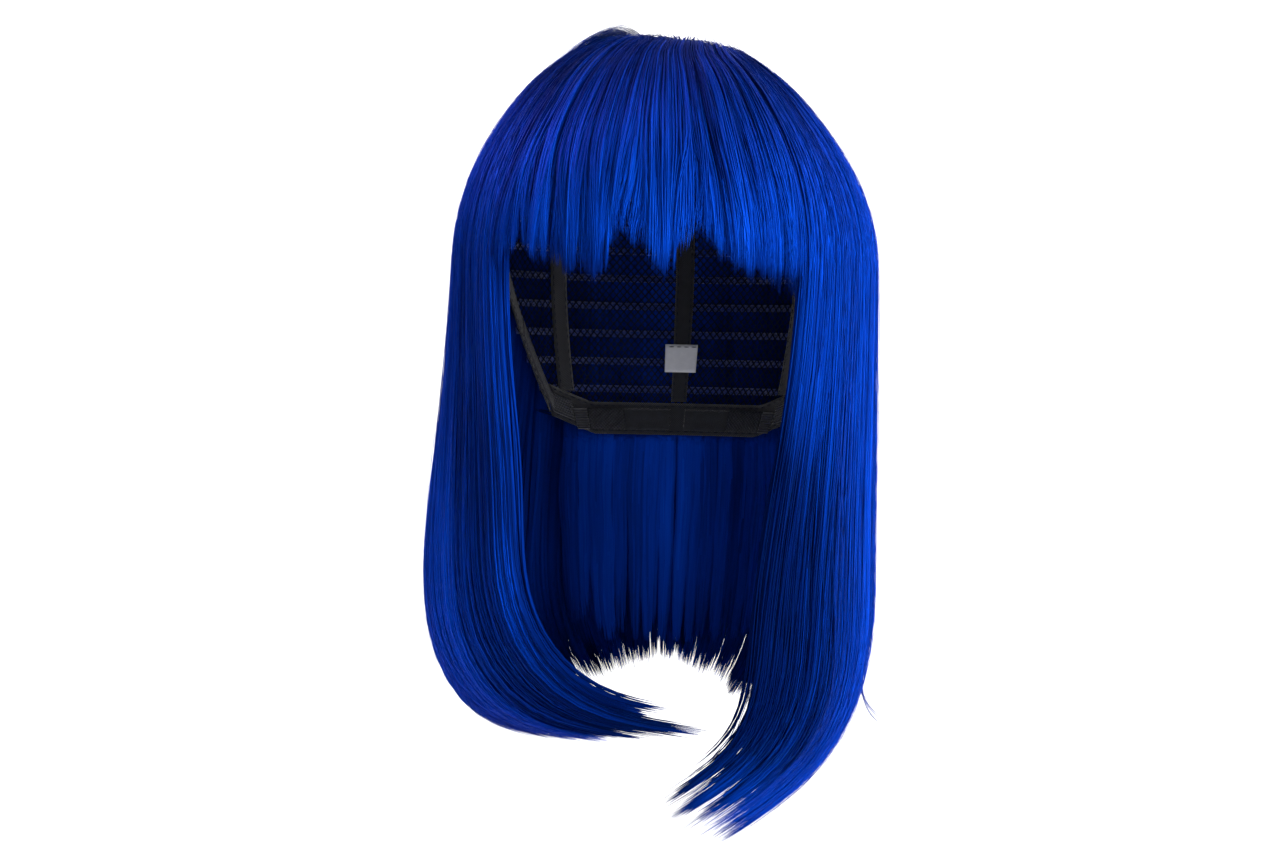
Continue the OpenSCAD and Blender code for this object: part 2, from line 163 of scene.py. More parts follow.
class Guides:
    """way is 0 at the whorl, 1 at the hat line and 2 at the tips."""

    COLUMNS, DOME, FALL = 181, 46, 90  # points across the section, over the dome and down the fall
    THIN, THICK = 0.0, 10.0  # the two layers that the grids hold
    ROUNDS = 60  # of smoothing, for a fall with no kinks

    def __init__(self, first, last, fall):
        self.first, self.last = first, last
        t = np.linspace(first, last, self.COLUMNS)[:, None, None]
        layer = np.array([self.THIN, self.THICK])[None, :, None]
        dome = on_head(t, np.linspace(0.4, 90, self.DOME)[None, None, :], layer)
        down = self.even(fall(t, layer))
        for _ in range(self.ROUNDS):
            down[:, :, 1:-1] = 0.25 * down[:, :, :-2] + 0.5 * down[:, :, 1:-1] + 0.25 * down[:, :, 2:]
        self.dome, self.down = dome, down
        self.dome_length = self.length(dome)
        self.down_length = self.length(down)
        self.dome_side = self.sideways(dome)
        self.down_side = self.sideways(down)

    @staticmethod
    def length(grid):
        return np.linalg.norm(np.diff(grid[:, 1], axis=1), axis=-1).sum(axis=1)

    def even(self, grid):
        """The same curves with their points spaced evenly."""
        out = np.empty(grid.shape[:2] + (self.FALL, 3))
        for i in range(grid.shape[0]):
            for j in range(2):
                curve = grid[i, j]
                far = np.concatenate([[0], np.cumsum(np.linalg.norm(np.diff(curve, axis=0), axis=1))])
                steps = np.linspace(0, far[-1], self.FALL)
                out[i, j] = np.stack([np.interp(steps, far, curve[:, k]) for k in range(3)], axis=-1)
        return out

    @staticmethod
    def sideways(grid):
        side = np.gradient(grid, axis=0)
        return side / np.maximum(np.linalg.norm(side, axis=-1, keepdims=True), 1e-9)

    def sample(self, grid, t, layer, part):
        """A grid's value between its points; part is 0 to 1 along it."""
        column = np.clip((t - self.first) / (self.last - self.first), 0, 1) * (self.COLUMNS - 1.001)
        row = np.clip(part, 0, 1) * (grid.shape[2] - 1.001)
        depth = ((layer - self.THIN) / (self.THICK - self.THIN))[..., None]
        c, r = column.astype(int), row.astype(int)
        fc, fr = (column - c)[..., None], (row - r)[..., None]

        def read(k):
            top = grid[c, k, r] * (1 - fr) + grid[c, k, r + 1] * fr
            low = grid[c + 1, k, r] * (1 - fr) + grid[c + 1, k, r + 1] * fr
            return top * (1 - fc) + low * fc
        return read(0) * (1 - depth) + read(1) * depth

    def at(self, t, layer, way):
        """Places and sideways directions."""
        over = (way <= 1)[..., None]
        place = np.where(over, self.sample(self.dome, t, layer, way),
                         self.sample(self.down, t, layer, way - 1))
        side = np.where(over, self.sample(self.dome_side, t, layer, way),
                        self.sample(self.down_side, t, layer, way - 1))
        return place, side

    def lengths(self, t):
        columns = np.linspace(self.first, self.last, self.COLUMNS)
        return np.interp(t, columns, self.dome_length), np.interp(t, columns, self.down_length)

def curtain_fall(t, layer):
    """The sections that hang from the hat line, with points closer together on the turn."""
    u = np.concatenate([np.linspace(0, 1, 40)[:-1], np.linspace(1, 2, 30)[:-1], np.linspace(2, 3, 12)])
    return hang(t, u[None, None, :], layer)

FLICK_REACH, FLICK_SINK = 17, 0.55  # how far the flick stands out, in mm, and its fall for each mm

def flick_fall(t, layer):
    """Hair that leaves the turn behind the wearer's left shoulder and flicks outwards."""
    u = np.linspace(0, 1, 80)[None, None, :]
    out = np.stack(np.broadcast_arrays(np.sin(np.radians(t)), -np.cos(np.radians(t)), -FLICK_SINK), axis=-1)
    over = np.clip((u - 0.87) / 0.13, 0, 1)
    return hang(t, 1.55 * np.clip(u / 0.9, 0, 1), layer) + FLICK_REACH * over[..., None] * out

FRINGE_FALL = 24  # the fringe's guides end this far below the hat line, in mm

def fringe_fall(t, layer):
    return on_head(t, 90 + np.linspace(0, FRINGE_FALL / DROP_PER_DEGREE, 30)[None, None, :], layer)

# ---- Hairs: closed tapered ribbons along the guides, gathered in locks ----

def wave(rng, count, points, size, turns):
    """Slow random sideways drift along each hair."""
    along = np.linspace(0, 1, points)[None, :]
    total = np.zeros((count, points))
    for turn in turns:
        phase = rng.uniform(0, 2 * math.pi, (count, 1))
        height = rng.normal(0, size / len(turns), (count, 1))
        total += height * (np.sin(2 * math.pi * turn * along + phase) - np.sin(phase))
    return total

SWIRL = 24  # how far the whorl turns the roots, in degrees
SWIRL_POLAR = 30  # where the swirl ends
ROOT_LAYER = 1.9  # the roots lie in the wefts

# Painted light and shade: how the tone changes along the hair, in steps of tone
WHORL_PAINTED_SHADE, WHORL_PAINTED_SHADE_SIDES = 2.2, 1.3  # painted shade round the whorl: in front, and at the sides
# a painted highlight across the fringe's lower middle: its strength, azimuth and width
BROW_PAINTED_HIGHLIGHT, BROW_HIGHLIGHT_AZIMUTH, BROW_HIGHLIGHT_WIDTH = 0.6, 7, 20
# painted shade on the hanging tips, on the wearer's left and right
TIP_PAINTED_SHADE_LEFT, TIP_PAINTED_SHADE_RIGHT = 0.5, 1.0
INNER_PAINTED_SHADE = 1.9  # painted shade on the edges that frame the face
RIGHT_PAINTED_SHADE, RIGHT_PAINTED_HIGHLIGHT = 0.75, 1.5  # the wearer's right: painted shade, then a painted highlight at the turn
LEFT_PAINTED_SHADE, LEFT_PAINTED_HIGHLIGHT = 0.85, 2.0  # the wearer's left: painted shade, then a painted highlight at the tips

def painted_light_and_shade(t, polar, way):
    """Painted light and shade: lighter and darker regions of the hair, by where each point lies."""
    beside = np.abs(t)
    whorl = WHORL_PAINTED_SHADE + (WHORL_PAINTED_SHADE_SIDES - WHORL_PAINTED_SHADE) * ease(beside, 38, 72)
    brow = ease(polar, 66, 90) * (1 - ease(way, 1, 1.3)) * np.exp(-((t - BROW_HIGHLIGHT_AZIMUTH) / BROW_HIGHLIGHT_WIDTH) ** 2)
    tips = np.where(t > 0, TIP_PAINTED_SHADE_LEFT, TIP_PAINTED_SHADE_RIGHT) * ease(way, 1.6, 2)
    inner = (1 - ease(beside, 53, 69)) * ease(way, 1.15, 1.45)
    curtain = np.where(t < 0, RIGHT_PAINTED_HIGHLIGHT * ease(way, 1.22, 1.5) - RIGHT_PAINTED_SHADE,
                       LEFT_PAINTED_HIGHLIGHT * ease(way, 1.74, 1.94) - LEFT_PAINTED_SHADE * ease(way, 1.15, 1.65))
    front = (1 - ease(beside, 62, 84)) * ease(way, 0.9, 1.05)
    return BROW_PAINTED_HIGHLIGHT * brow - whorl * (1 - ease(polar, 8, 86)) - tips - INNER_PAINTED_SHADE * inner + curtain * front

def lock_hairs(rng, guides, centres, half_width, layer, crown, depth, count, root, reach, gather, points=30,
               uneven=3.0, ragged=8.0, stray=0.3, drift=0.5, ends=None, bend=None, root_lift=34, puff=0.0,
               lean=0.0):
    """Centre lines of many locks' hairs, their sideways directions, and tones with painted light and shade.

    centres: azimuth of each lock. half_width: in degrees. layer, crown, depth: a lock's height, bulge and
    thickness in mm. count: its hairs. root: polar angles between which they start. reach: share of the
    hanging length, or ends, which gives it from the azimuth. gather: how much tips draw together. uneven,
    ragged: mm by which locks and hairs differ in length. stray, drift, lean: degrees by which hairs, locks
    and ends wander. bend: gives the ends' sideways bend from the azimuth. root_lift: mm over which a hair
    rises to its layer. puff: mm of extra lift near the whorl.
    """
    locks = len(centres)
    lock = np.repeat(np.arange(locks), count)
    hairs = locks * count
    across = rng.uniform(-1, 1, hairs)
    deep = rng.uniform(-1, 1, hairs)
    along = np.linspace(0, 1, points)[None, :]
    lock_layer = layer + rng.normal(0, 0.35, locks)
    lock_gather = np.clip(gather + rng.normal(0, 0.12, locks), 0, 0.92)
    lock_tone = rng.normal(0, 1, locks)
    start = rng.uniform(root[0], root[1], hairs)
    foot = centres[lock] + across * half_width
    hair_reach = ends(foot) if ends else np.full(hairs, reach)
    shorter = ragged * rng.uniform(0, 1, hairs) ** 2 + 0.3 * ragged * np.abs(across) ** 3
    longer = rng.normal(0, uneven, locks)[lock]
    draw = 1 - lock_gather[lock][:, None] * ease(along, 0.4, 1)
    lock_drift = wave(rng, locks, points, drift, (0.7, 1.6))[lock]
    t = (centres[lock][:, None] + across[:, None] * half_width * draw + lock_drift
         + wave(rng, hairs, points, stray, (0.6, 1.7, 3.1)))
    dome, down = guides.lengths(centres[lock])
    over = dome * (1 - start / 90)
    total = np.minimum(over + down * hair_reach + longer - shorter, over + 0.998 * down)
    far = along * total[:, None]
    way = np.where(far < over[:, None], start[:, None] / 90 + far / dome[:, None],
                   1 + (far - over[:, None]) / down[:, None])
    polar = 90 * np.minimum(way, 1)
    bulge = crown * (0.25 + 0.75 * ease(polar, 0, 50))
    high = (lock_layer[lock][:, None] + bulge * (1 - across ** 2)[:, None] + deep[:, None] * depth * draw
            + wave(rng, hairs, points, 0.35, (0.9, 2.3)))
    t = t + rng.normal(0, lean, locks)[lock][:, None] * ease(along, 0.6, 1)
    if bend:
        t = t + bend(t) * ease(along, 0.55, 1)
    t = t + SWIRL * (1 - ease(polar, 0, SWIRL_POLAR)) * (start < SWIRL_POLAR)[:, None]
    high = high + fullness(t, way) + puff * np.sin(np.pi * np.clip(polar / 34, 0, 1)) ** 2
    high = ROOT_LAYER + (np.maximum(high, 0.3) - ROOT_LAYER) * smooth(far / root_lift)
    place, side = guides.at(t, high, way)
    slow = wave(rng, locks, points, 0.35, (0.5, 1.3))[lock]
    # Locks and hairs differ in tone at random; hairs at a lock's edges are painted darker, as painted shade
    # in the valleys between locks
    tone = (lock_tone[lock] * 0.45 + rng.normal(0, 0.24, hairs) - 0.5 * across ** 4)[:, None] + slow
    return place, side, tone + painted_light_and_shade(t, polar, way)

def frames(place, side):
    """Sideways and outward directions square to each hair."""
    tangent = np.gradient(place, axis=1)
    tangent /= np.maximum(np.linalg.norm(tangent, axis=-1, keepdims=True), 1e-9)
    side = side - tangent * (side * tangent).sum(-1, keepdims=True)
    side /= np.maximum(np.linalg.norm(side, axis=-1, keepdims=True), 1e-9)
    return side, np.cross(tangent, side)

ROOT_GREY_AND_SHEEN_LENGTH = 26  # length of the greyer roots, in mm: partly the pale crown showing through, partly painted sheen
BAKE_MAP = "OFBake"  # name of the UV map that a colour bake writes through
FIBRE_STEP = 7.3  # sets each strand's streaks apart from its neighbours', in mm

def strand_mesh(name, place, side, half_width, rise, tone, taper=0.2):
    """One mesh of closed strands, one for each row of place: a low roof over a flat underside.

    half_width and rise are in mm, one a strand; taper is the share of the length that narrows to the tip.
    """
    strands, points = place.shape[:2]
    across, outward = frames(place, side)
    along = np.linspace(0, 1, points)[None, :]
    slim = np.clip((1 - along) / taper, 0, 1) ** 0.7 * (0.5 + 0.5 * ease(along, 0, 0.08))
    slim = np.maximum(slim, 0.05)
    wide = half_width[:, None] * slim
    high = rise[:, None] * slim
    rings = np.stack([place + outward * high[..., None], place - across * wide[..., None],
                      place + across * wide[..., None]], axis=2)
    base = (np.arange(strands) * points * 3)[:, None, None]
    ring = (np.arange(points - 1) * 3)[None, :, None]
    now = np.arange(3)[None, None, :]
    after = (now + 1) % 3
    quads = np.stack([base + ring + now, base + ring + after, base + ring + 3 + after, base + ring + 3 + now],
                     axis=-1).reshape(-1, 4)
    root = base[:, 0] + np.array([2, 1, 0])
    tip = base[:, 0] + (points - 1) * 3 + np.arange(3)
    caps = np.concatenate([root, tip])
    mesh = bpy.data.meshes.new(name)
    mesh.vertices.add(rings.size // 3)
    mesh.vertices.foreach_set("co", (rings.reshape(-1) * MM).astype(np.float32))
    corners = np.concatenate([quads.ravel(), caps.ravel()])
    mesh.loops.add(len(corners))
    mesh.loops.foreach_set("vertex_index", corners.astype(np.int32))
    starts = np.concatenate([np.arange(len(quads)) * 4, len(quads) * 4 + np.arange(len(caps)) * 3])
    mesh.polygons.add(len(starts))
    mesh.polygons.foreach_set("loop_start", starts.astype(np.int32))
    mesh.update(calc_edges=True)
    flat = np.zeros(len(starts), bool)
    flat[1:len(quads):3] = True  # the underside, so that the roof keeps its own normals
    flat[len(quads):] = True
    mesh.attributes.new("sharp_face", "BOOLEAN", "FACE").data.foreach_set("value", flat)
    mesh.attributes.new("tone", "FLOAT", "POINT").data.foreach_set(
        "value", np.broadcast_to(tone[:, :, None], (strands, points, 3)).astype(np.float32).ravel())
    far = np.linalg.norm(np.diff(place, axis=1), axis=-1).cumsum(axis=1)
    far = np.concatenate([np.zeros((strands, 1)), far], axis=1)
    fibre = np.stack(np.broadcast_arrays(
        np.stack([0 * wide, -wide, wide], axis=2) + np.arange(strands)[:, None, None] * FIBRE_STEP,
        far[:, :, None], (1 - smooth(far / ROOT_GREY_AND_SHEEN_LENGTH))[:, :, None]), axis=-1)
    mesh.attributes.new("fibre", "FLOAT_VECTOR", "POINT").data.foreach_set(
        "vector", fibre.astype(np.float32).ravel())
    lay_out(mesh, strands, points, corners, quads.size)
    return mesh

def lay_out(mesh, strands, points, corners, quad_corners):
    """The bake map: each strand has a narrow cell of its own, with a margin round it."""
    rows = 4
    columns = math.ceil(strands / rows)
    strand = corners // (points * 3)
    point = corners // 3 % points
    corner = corners % 3
    u = (strand // rows + 0.15 + 0.7 * np.array([0.5, 0, 1])[corner]) / columns
    v = (strand % rows + 0.03 + 0.94 * point / (points - 1)) / rows
    uv = np.stack([u, v], axis=-1).astype(np.float32)
    mesh.uv_layers.new(name=BAKE_MAP, do_init=False).uv.foreach_set("vector", uv.ravel())

def add_piece(name, mesh, material):
    piece = bpy.data.objects.new(name, mesh)
    bpy.context.scene.collection.objects.link(piece)
    mesh.materials.append(material)
    return piece

# ---- Materials ----

def new_material(name):
    material = bpy.data.materials.new(name)
    material.use_nodes = True
    tree = material.node_tree
    return material, tree, tree.nodes["Principled BSDF"]

def attribute(tree, name):
    node = tree.nodes.new("ShaderNodeAttribute")
    node.attribute_name = name
    return node.outputs

def add_node(tree, kind, inputs, operation=None):
    """The outputs of a new node; an input is a value or another node's output."""
    node = tree.nodes.new("ShaderNode" + kind)
    if operation:
        node.operation = operation
    for socket, value in inputs.items():
        if isinstance(value, bpy.types.NodeSocket):
            tree.links.new(value, node.inputs[socket])
        else:
            node.inputs[socket].default_value = value
    return node.outputs

def calculate(tree, operation, *values):
    return add_node(tree, "Math", dict(enumerate(values)), operation)[0]

def noise(tree, vector, scale, detail):
    return add_node(tree, "TexNoise", {"Vector": vector, "Scale": scale, "Detail": detail})["Fac"]

def color_ramp(tree, factor, colors):
    node = tree.nodes.new("ShaderNodeValToRGB")
    while len(node.color_ramp.elements) < len(colors):
        node.color_ramp.elements.new(0.5)
    for element, (position, color) in zip(node.color_ramp.elements, colors):
        element.position = position
        element.color = (*color, 1)
    tree.links.new(factor, node.inputs["Fac"])
    return node.outputs["Color"]

def finish_surface(tree, shader, color, grain, smoothest, roughest, height, strength, bump_size):
    """Color, roughness that varies with the grain, and a bump; bump_size is in metres."""
    tree.links.new(color, shader.inputs["Base Color"])
    rough = add_node(tree, "MapRange", {"Value": grain, "To Min": smoothest, "To Max": roughest})
    tree.links.new(rough["Result"], shader.inputs["Roughness"])
    bump = add_node(tree, "Bump", {"Height": height, "Strength": strength, "Distance": bump_size})
    tree.links.new(bump["Normal"], shader.inputs["Normal"])

STREAKS = (4.5, 0.03, 0)  # streaks a mm, across a strand and along it
TONE_SHARE = 0.2  # how far one step of tone moves along a hair's color ramp
ROOT_GREY_AND_SHEEN_SHARE = 0.8  # how much of the roots' greyer color, partly painted sheen, shows at the very root

def hair_material(name, colors, roughness=0.42, metallic=0.5, root=None, sheen=0.0):
    """Silky dyed fibre: a tone a strand, with painted light and shade, and fine streaks; root is the roots'
    color, partly painted sheen.
    """
    material, tree, shader = new_material(name)
    fibre = attribute(tree, "fibre")["Vector"]
    stretched = add_node(tree, "VectorMath", {0: fibre, 1: STREAKS}, "MULTIPLY")["Vector"]
    streak = noise(tree, stretched, 1.0, 2.0)
    fine = calculate(tree, "MULTIPLY_ADD", streak, 0.5, 0.25)
    mixed = calculate(tree, "MULTIPLY_ADD", attribute(tree, "tone")["Fac"], TONE_SHARE, fine)
    color = color_ramp(tree, mixed, colors)
    if root:
        near_root = add_node(tree, "SeparateXYZ", {0: fibre})["Z"]
        mix = tree.nodes.new("ShaderNodeMix")
        mix.data_type = "RGBA"
        tree.links.new(calculate(tree, "MULTIPLY", near_root, ROOT_GREY_AND_SHEEN_SHARE), mix.inputs["Factor"])
        tree.links.new(color, mix.inputs["A"])
        mix.inputs["B"].default_value = (*root, 1)
        color = mix.outputs["Result"]
    finish_surface(tree, shader, color, streak, roughness - 0.08, roughness + 0.08, streak, 0.25,
                   0.0001)
    for socket, value in (("Metallic", metallic), ("Specular IOR Level", 0.04),
                          ("Specular Tint", (0.02, 0.2, 1.0, 1)), ("Sheen Weight", sheen),
                          ("Sheen Roughness", 0.3), ("Sheen Tint", (0.01, 0.2, 1.0, 1))):
        shader.inputs[socket].default_value = value
    return material

# The roots' greyer color is partly the pale crown showing through and partly painted sheen
HAIR = hair_material("dyed_hair", [(0.1, (0.0003, 0.007, 0.08)), (0.5, (0.001, 0.04, 0.4)),
                                   (0.9, (0.003, 0.085, 0.72))], root=(0.14, 0.19, 0.38), sheen=0.12)
# The same dyed hair, darker and duller, for the under, inner and nape layers: painted shade
HAIR_PAINTED_SHADE = hair_material("dyed_hair_inner_painted_shade", [(0.1, (0.0004, 0.008, 0.08)), (0.5, (0.0008, 0.022, 0.23)),
                                              (0.9, (0.0015, 0.045, 0.42))], 0.5, 0.3)

# ---- Hair sections ----

RNG = np.random.default_rng(7)
OVERLAP = 70  # azimuth by which the full guides overlap at the back
FULL = Guides(-180 - OVERLAP, 180 + OVERLAP, curtain_fall)
FRONT = Guides(-120, 120, fringe_fall)

def azimuths(first, last, step):
    """Centres of neighbouring locks of varied width, step degrees apart on average."""
    count = max(2, round((last - first) / step))
    widths = RNG.uniform(0.5, 1.7, count)
    edges = first + (last - first) * np.concatenate([[0], np.cumsum(widths) / widths.sum()])
    return (edges[:-1] + edges[1:]) / 2

def hair_piece(name, guides, body, nodes_replaced, material, centres, half, layer, crown, depth, count, root,
               width=0.45, rise=0.28, **more):
    """A piece of many strands, with lock_hairs' numbers in their order.

    width is the strands' mean half-width in mm, and rise is the ridge's height as a share of it.
    """
    place, side, tone = lock_hairs(RNG, guides, centres, half, layer, crown, depth, count, root, **more)
    wide = width * RNG.uniform(0.6, 1.4, len(tone))
    piece = add_piece(name, strand_mesh(name, place, side, wide, wide * rise, tone), material)
    join_to_cap(piece, body)
    if nodes_replaced:
        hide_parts(*nodes_replaced)

def join_to_cap(piece, body):
    """Hair rooted on the cap goes with the cap; other hair has its place baked into its mesh."""
    if body == "cap":
        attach(piece, "cap")
    elif body == "fringe":
        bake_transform(piece)
    elif body == "nape":
        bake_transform(piece)
    else:
        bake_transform(piece)

def section_hair(prefix, body, first, last, replaced, even=1.0):
    """Under, inner, middle and outer locks of one hanging section, and a veil of single strands.

    even is 1 for pointed locks at the ends and less for a more even cut. Each layer's numbers are its step,
    then the locks' half-width, layer, crown, depth, count and root.
    """
    def layer_piece(layer_name, nodes_replaced, material, step, *sizes, inset=0.0, **more):
        hair_piece(f"{prefix}_{layer_name}", FULL, body, nodes_replaced, material,
                   azimuths(first + inset, last - inset, step), *sizes, **more)

    layer_piece("under", replaced, HAIR_PAINTED_SHADE, 3.0, 1.0, 4.4, 0.4, 0.8, 2, (24, 60), inset=1, width=2.6,
                rise=0.2, reach=0.86, gather=0.2, uneven=5)
    layer_piece("inner", (), HAIR_PAINTED_SHADE, 4.0, 2.4, 2.0, 0.5, 1.4, 26, (60, 88), width=0.6, reach=0.93,
                gather=0.25 * even, uneven=3 * even, ragged=26 * even)
    layer_piece("middle", (), HAIR, 4.4, 2.7, 5.6, 0.7, 0.9, 38, (14, 50), width=0.55, reach=0.985,
                gather=0.4 * even, uneven=5 * even, ragged=20 * even)
    layer_piece("outer", (), HAIR, 5.2, 3.2, 7.0, 0.8, 0.4, 56, (4, 18), width=0.45, reach=0.995,
                gather=0.5 * even, uneven=5 * even, ragged=16 * even)
    layer_piece("veil", (), HAIR, 1.6, 1.8, 7.9, 0.2, 0.4, 12, (1.8, 18), width=0.25, reach=1, gather=0.1,
                uneven=2, ragged=14, stray=0.7)

PARTING = 1.2  # azimuth between the fringe and the side hair
section_hair("side_hair_left", "side_left", FRINGE_ENDS[1] + PARTING, BACK_START,
             ("side_hair_left", "upper_side_hair_left"))
section_hair("side_hair_right", "side_right", -BACK_START, FRINGE_ENDS[0] - PARTING,
             ("side_hair_right", "upper_side_hair_right"))
section_hair("back_hair_left", "back", BACK_START, 180, ("back_hair", "upper_back_hair", "crown_hair"),
             even=0.5)
section_hair("back_hair_right", "back", -180, -BACK_START, (), even=0.5)

# The fringe's cut edge, x across the brow against height over the hat line, and how its ends lean sideways
FRINGE_CUT = [(-62, -8), (-53, -7), (-49, 0), (-46.5, 10), (-44.5, -1), (-38, -6.5), (-31, -6.5), (-24, -9.5),
              (-18, -12), (-13, -10), (-8, 3), (-4.5, 12), (-3, 8), (1, 0), (6, -8), (12, -12), (15, -8),
              (18, -1), (21.5, 9), (25, 3), (31, -6), (40, -9), (51, -12), (57, -15), (64, -18)]
FRINGE_LEAN = [(-62, -5), (-50, -4), (-47, -2), (-45, 2), (-30, 4), (-18, 3), (-8, -2), (-4, -3), (0, 4),
               (8, 3), (14, -1), (20, -4), (23, 4), (34, 4), (64, 2)]

def brow_x(t):
    return (HALF_WIDTH + HAIR_LAYER[1]) * np.sin(np.radians(t))

def fringe_reach(t):
    return -curve(FRINGE_CUT, brow_x(t)) / FRINGE_FALL

def fringe_bend(t):
    return np.degrees(curve(FRINGE_LEAN, brow_x(t)) / (HALF_WIDTH + HAIR_LAYER[1]))

def fringe_piece(name, replaced, material, ends, step, *sizes, shorter=0.0, **more):
    """One layer of the fringe; shorter is how far it stops short of the cut, in mm."""
    hair_piece("fringe_" + name, FRONT, "fringe", replaced, material, azimuths(*ends, step), *sizes, reach=0,
               ends=lambda t: fringe_reach(t) - shorter / FRINGE_FALL, bend=fringe_bend, points=26, **more)

fringe_piece("under", ("fringe_hair",), HAIR_PAINTED_SHADE, (-41, 45), 3.2, 1.0, 4.4, 0.4, 0.6, 2, (18, 40),
             shorter=15, width=2.3, rise=0.2, gather=0.2, uneven=2, ragged=3)
fringe_piece("inner", (), HAIR_PAINTED_SHADE, FRINGE_ENDS, 3.0, 2.0, 4.6, 0.4, 0.9, 26, (24, 44), shorter=3,
             width=0.42, gather=0.3, uneven=1.2, ragged=9, lean=0.6)
fringe_piece("middle", (), HAIR, FRINGE_ENDS, 3.1, 2.3, 5.8, 0.6, 0.8, 43, (8, 36), shorter=1, width=0.42,
             gather=0.5, uneven=1.8, ragged=9, lean=0.9)
fringe_piece("outer", (), HAIR, FRINGE_ENDS, 4.2, 2.9, 7.0, 0.8, 0.5, 58, (3, 14), width=0.4, gather=0.6,
             uneven=2, ragged=8, lean=1.1)
fringe_piece("veil", (), HAIR, FRINGE_ENDS, 1.5, 1.7, 7.7, 0.2, 0.7, 20, (1.5, 14), width=0.2, gather=0.15,
             uneven=2, ragged=10, lean=1.0)

# Loose hairs: a tuft beside the whorl, a flick behind the wearer's left shoulder, and flyaways
hair_piece("crown_tuft", FULL, "cap", (), HAIR, azimuths(-120, -58, 6), 4.0, 7.2, 0.6, 0.6, 26, (2, 9),
           width=0.22, reach=-0.3, gather=0.3, uneven=5, ragged=30, puff=1.0, root_lift=20)
hair_piece("crown_wisps", FULL, "cap", (), HAIR, azimuths(-170, 170, 9), 4.0, 7.6, 0.3, 0.5, 4, (2, 9),
           width=0.13, reach=-0.3, gather=0.0, uneven=9, ragged=30, puff=0.5, root_lift=24, stray=2.5)
FLICK = Guides(95, 130, flick_fall)
hair_piece("side_flick_left", FLICK, "side_left", (), HAIR, azimuths(104, 118, 3.5), 1.8, 8.6, 0.4, 0.6, 40,
           (40, 70), width=0.25, reach=1, gather=0.8, uneven=5, ragged=16)
for side_body, side_first, side_last in (("side_left", 58, 118), ("side_right", -118, -54)):
    hair_piece(f"flyaways_{side_body}", FULL, side_body, (), HAIR, azimuths(side_first, side_last, 5), 2.6,
               8.9, 0.3, 0.7, 4, (20, 60), width=0.13, reach=0.9, gather=0.0, uneven=22, ragged=60, stray=2.4,
               drift=1.0)

# ---- Nape hair: the short under-layer, rooted just above the cap's edge ----

NAPE_FALL = 86
NAPE_ROOT, NAPE_END = NAPE_POLAR - 8, NAPE_POLAR + 0.6
NAPE_SECTION = (120, 240)  # azimuths

def nape_fall(t, layer):
    u = np.linspace(0, 1, 40)[None, None, :]
    rad = np.radians(t)
    shift = (-np.sin(rad) * 10 * u ** 2, np.cos(rad) * 14 * u ** 2, -NAPE_FALL * u)
    return on_head(t, NAPE_END, layer) + np.stack(np.broadcast_arrays(*shift), axis=-1)

class NapeGuides(Guides):
    """Guides whose dome is only the strip that the nape hair is sewn to."""

    def __init__(self):
        super().__init__(*NAPE_SECTION, nape_fall)
        t = np.linspace(*NAPE_SECTION, self.COLUMNS)[:, None, None]
        layer = np.array([self.THIN, self.THICK])[None, :, None]
        self.dome = on_head(t, np.linspace(NAPE_ROOT, NAPE_END, self.DOME)[None, None, :], layer)
        self.dome_length = self.length(self.dome)

hair_piece("nape_hair_locks", NapeGuides(), "nape", ("nape_hair",), HAIR_PAINTED_SHADE, azimuths(136, 224, 5), 3.0,
           4.5, 0.8, 1.8, 50, (10, 60), width=0.5, rise=0.32, reach=0.99, gather=0.3, points=22, ragged=26)

# ---- Cap: sheets of cloth, threads and stitches on the head's surface ----

BAND_LAYER = (-2.0, -1.1)  # inner and outer faces, off the net's inner face
RIB_LAYER = (-0.9, -0.25)
WEFT_LAYER = (1.0, 2.1)
PAD_LAYER = (-2.8, -2.15)
BAND_DEGREES = 8  # width of the bands
STRAP_POLAR = NAPE_POLAR - 4.5
STRAP_LEVEL = -(STRAP_POLAR - 90) * DROP_PER_DEGREE
STRAP_HEIGHT = 9
NAPE_CENTRE, NAPE_RADIUS, NAPE_SLOPE = 3.6, 67.8, 0.46  # of the cone that the hook tabs slide round
EAR_AZIMUTH, EAR_HALF_ANGLE, EAR_DEGREES = 71, 11, 17  # middle, half-width and length of an ear tab
TAB_START, TAB_ANGLE, TAB_THICKNESS = 19, 13.5, 1.2  # of a hook tab; angles from straight back

def edge_polar(t):
    """Polar angle of the cap's edge."""
    return curve(CAP_EDGE, np.abs(((t + 180) % 360) - 180))

